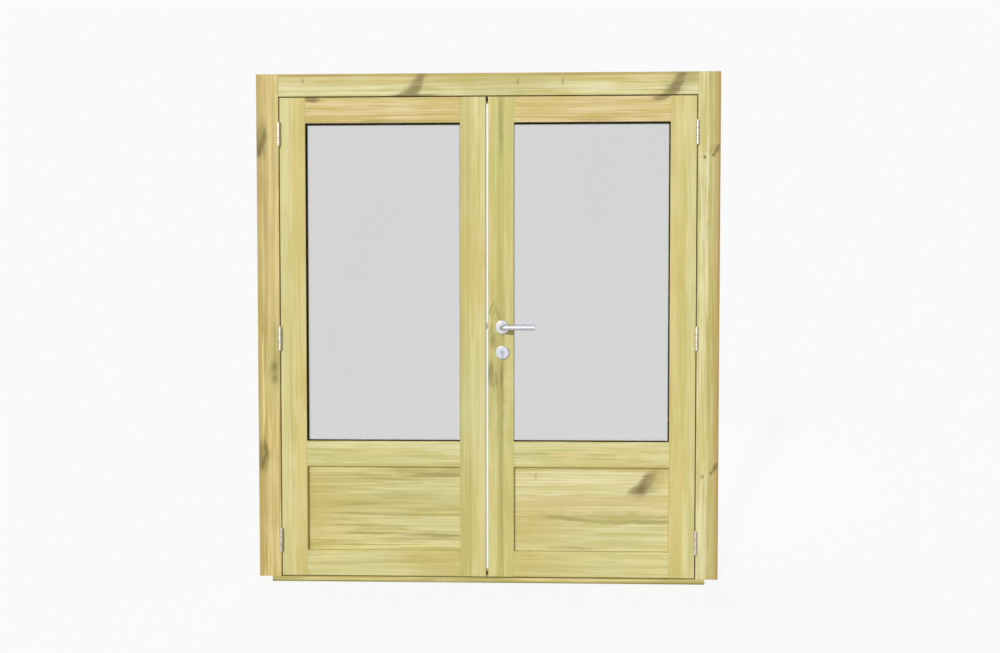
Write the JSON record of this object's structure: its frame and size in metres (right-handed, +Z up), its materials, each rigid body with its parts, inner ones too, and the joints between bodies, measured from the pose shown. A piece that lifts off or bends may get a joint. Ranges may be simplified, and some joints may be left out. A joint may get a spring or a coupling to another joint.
{
  "type": "french doors",
  "caption": "Outward-opening timber french doors in a flanged frame, glazed above flat lower panels, with butt hinges, a lever lock and flush bolts.",
  "frame": {"origin": "middle of the sill's underside", "axes": "+Z up, +X to the right seen from outside, +Y inwards through the wall"},
  "size_m": [1.79, 0.183, 1.978],
  "materials": {
    "treated_pine": "planed pressure-treated pine, unpainted",
    "clear_glass": "clear float glass",
    "black_rubber": "matt black",
    "satin_steel": "satin stainless",
    "satin_aluminium": "satin anodised",
    "zinc_plate": "zinc plated",
    "grey_nylon": "plain nylon"
  },
  "bodies": {
    "frame": {"left_jamb": "treated_pine", "right_jamb": "treated_pine", "head": "treated_pine", "sill": "treated_pine", "left_bottom_hinge_frame_plate": "satin_steel", "left_middle_hinge_frame_plate": "satin_steel", "left_top_hinge_frame_plate": "satin_steel", "right_bottom_hinge_frame_plate": "satin_steel", "right_middle_hinge_frame_plate": "satin_steel", "right_top_hinge_frame_plate": "satin_steel", "hinge_pins": "satin_steel", "hinge_washers": "grey_nylon", "frame_screws": "satin_steel", "head_bolt_keep": "satin_steel", "sill_bolt_keep": "satin_steel"},
    "left_leaf": {"left_bottom_hinge_leaf_plate": "satin_steel", "left_middle_hinge_leaf_plate": "satin_steel", "left_top_hinge_leaf_plate": "satin_steel", "left_hinge_stile": "treated_pine", "left_meeting_stile": "treated_pine", "left_top_rail": "treated_pine", "left_middle_rail": "treated_pine", "left_bottom_rail": "treated_pine", "left_lower_panel": "treated_pine", "left_glazing_beads": "treated_pine", "left_glass": "clear_glass", "left_glazing_gasket": "black_rubber", "left_leaf_screws": "satin_steel", "strike_plate": "satin_steel", "top_bolt_plate": "satin_steel", "bottom_bolt_plate": "satin_steel"},
    "right_leaf": {"right_bottom_hinge_leaf_plate": "satin_steel", "right_middle_hinge_leaf_plate": "satin_steel", "right_top_hinge_leaf_plate": "satin_steel", "right_hinge_stile": "treated_pine", "right_meeting_stile": "treated_pine", "right_top_rail": "treated_pine", "right_middle_rail": "treated_pine", "right_bottom_rail": "treated_pine", "right_lower_panel": "treated_pine", "right_glazing_beads": "treated_pine", "right_glass": "clear_glass", "right_glazing_gasket": "black_rubber", "right_leaf_screws": "satin_steel", "lock_case": "zinc_plate", "lock_faceplate": "satin_steel", "outer_rose": "satin_aluminium", "inner_rose": "satin_aluminium", "outer_key_rose": "satin_aluminium", "inner_key_rose": "satin_aluminium", "cylinder_body": "satin_steel"},
    "lever_set": {"outer_lever": "satin_aluminium", "inner_lever": "satin_aluminium", "spindle": "zinc_plate", "lock_follower": "zinc_plate"},
    "latch": {"latch_bolt": "satin_steel"},
    "bolt": {"dead_bolt": "satin_steel"},
    "key_plug": {"cylinder_plug": "satin_steel"},
    "top_bolt": {"top_flush_bolt": "satin_steel"},
    "bottom_bolt": {"bottom_flush_bolt": "satin_steel"}
  },
  "joints": [
    {"name": "left_leaf_swing", "type": "hinge", "parent": "frame", "child": "left_leaf", "pos_m": [-0.80625, -0.052, 0.956], "axis": [0, 0, -1], "range_deg": [0, 170]},
    {"name": "right_leaf_swing", "type": "hinge", "parent": "frame", "child": "right_leaf", "pos_m": [0.80625, -0.052, 0.956], "axis": [0, 0, 1], "range_deg": [0, 170]},
    {"name": "lever_turn", "type": "hinge", "parent": "right_leaf", "child": "lever_set", "pos_m": [0.0595, -0.018, 1], "axis": [0, 1, 0], "range_deg": [0, 40], "stiffness_Nm_per_rad": 1.5, "springref_deg": -28.65},
    {"name": "latch_slide", "type": "slide", "parent": "right_leaf", "child": "latch", "axis": [1, 0, 0], "range_m": [0, 0.006]},
    {"name": "key_turn", "type": "hinge", "parent": "right_leaf", "child": "key_plug", "pos_m": [0.0595, -0.018, 0.902], "axis": [0, 1, 0], "range_deg": [0, 360]},
    {"name": "dead_bolt_slide", "type": "slide", "parent": "right_leaf", "child": "bolt", "axis": [-1, 0, 0], "range_m": [0, 0.02]},
    {"name": "top_bolt_slide", "type": "slide", "parent": "left_leaf", "child": "top_bolt", "axis": [0, 0, 1], "range_m": [0, 0.016]},
    {"name": "bottom_bolt_slide", "type": "slide", "parent": "left_leaf", "child": "bottom_bolt", "axis": [0, 0, -1], "range_m": [0, 0.016]}
  ],
  "couplings": [
    {"joint": "latch_slide", "follows": "lever_turn", "m_per_rad": 0.0085942},
    {"joint": "key_turn", "follows": "dead_bolt_slide", "rad_per_m": 314.16}
  ]
}
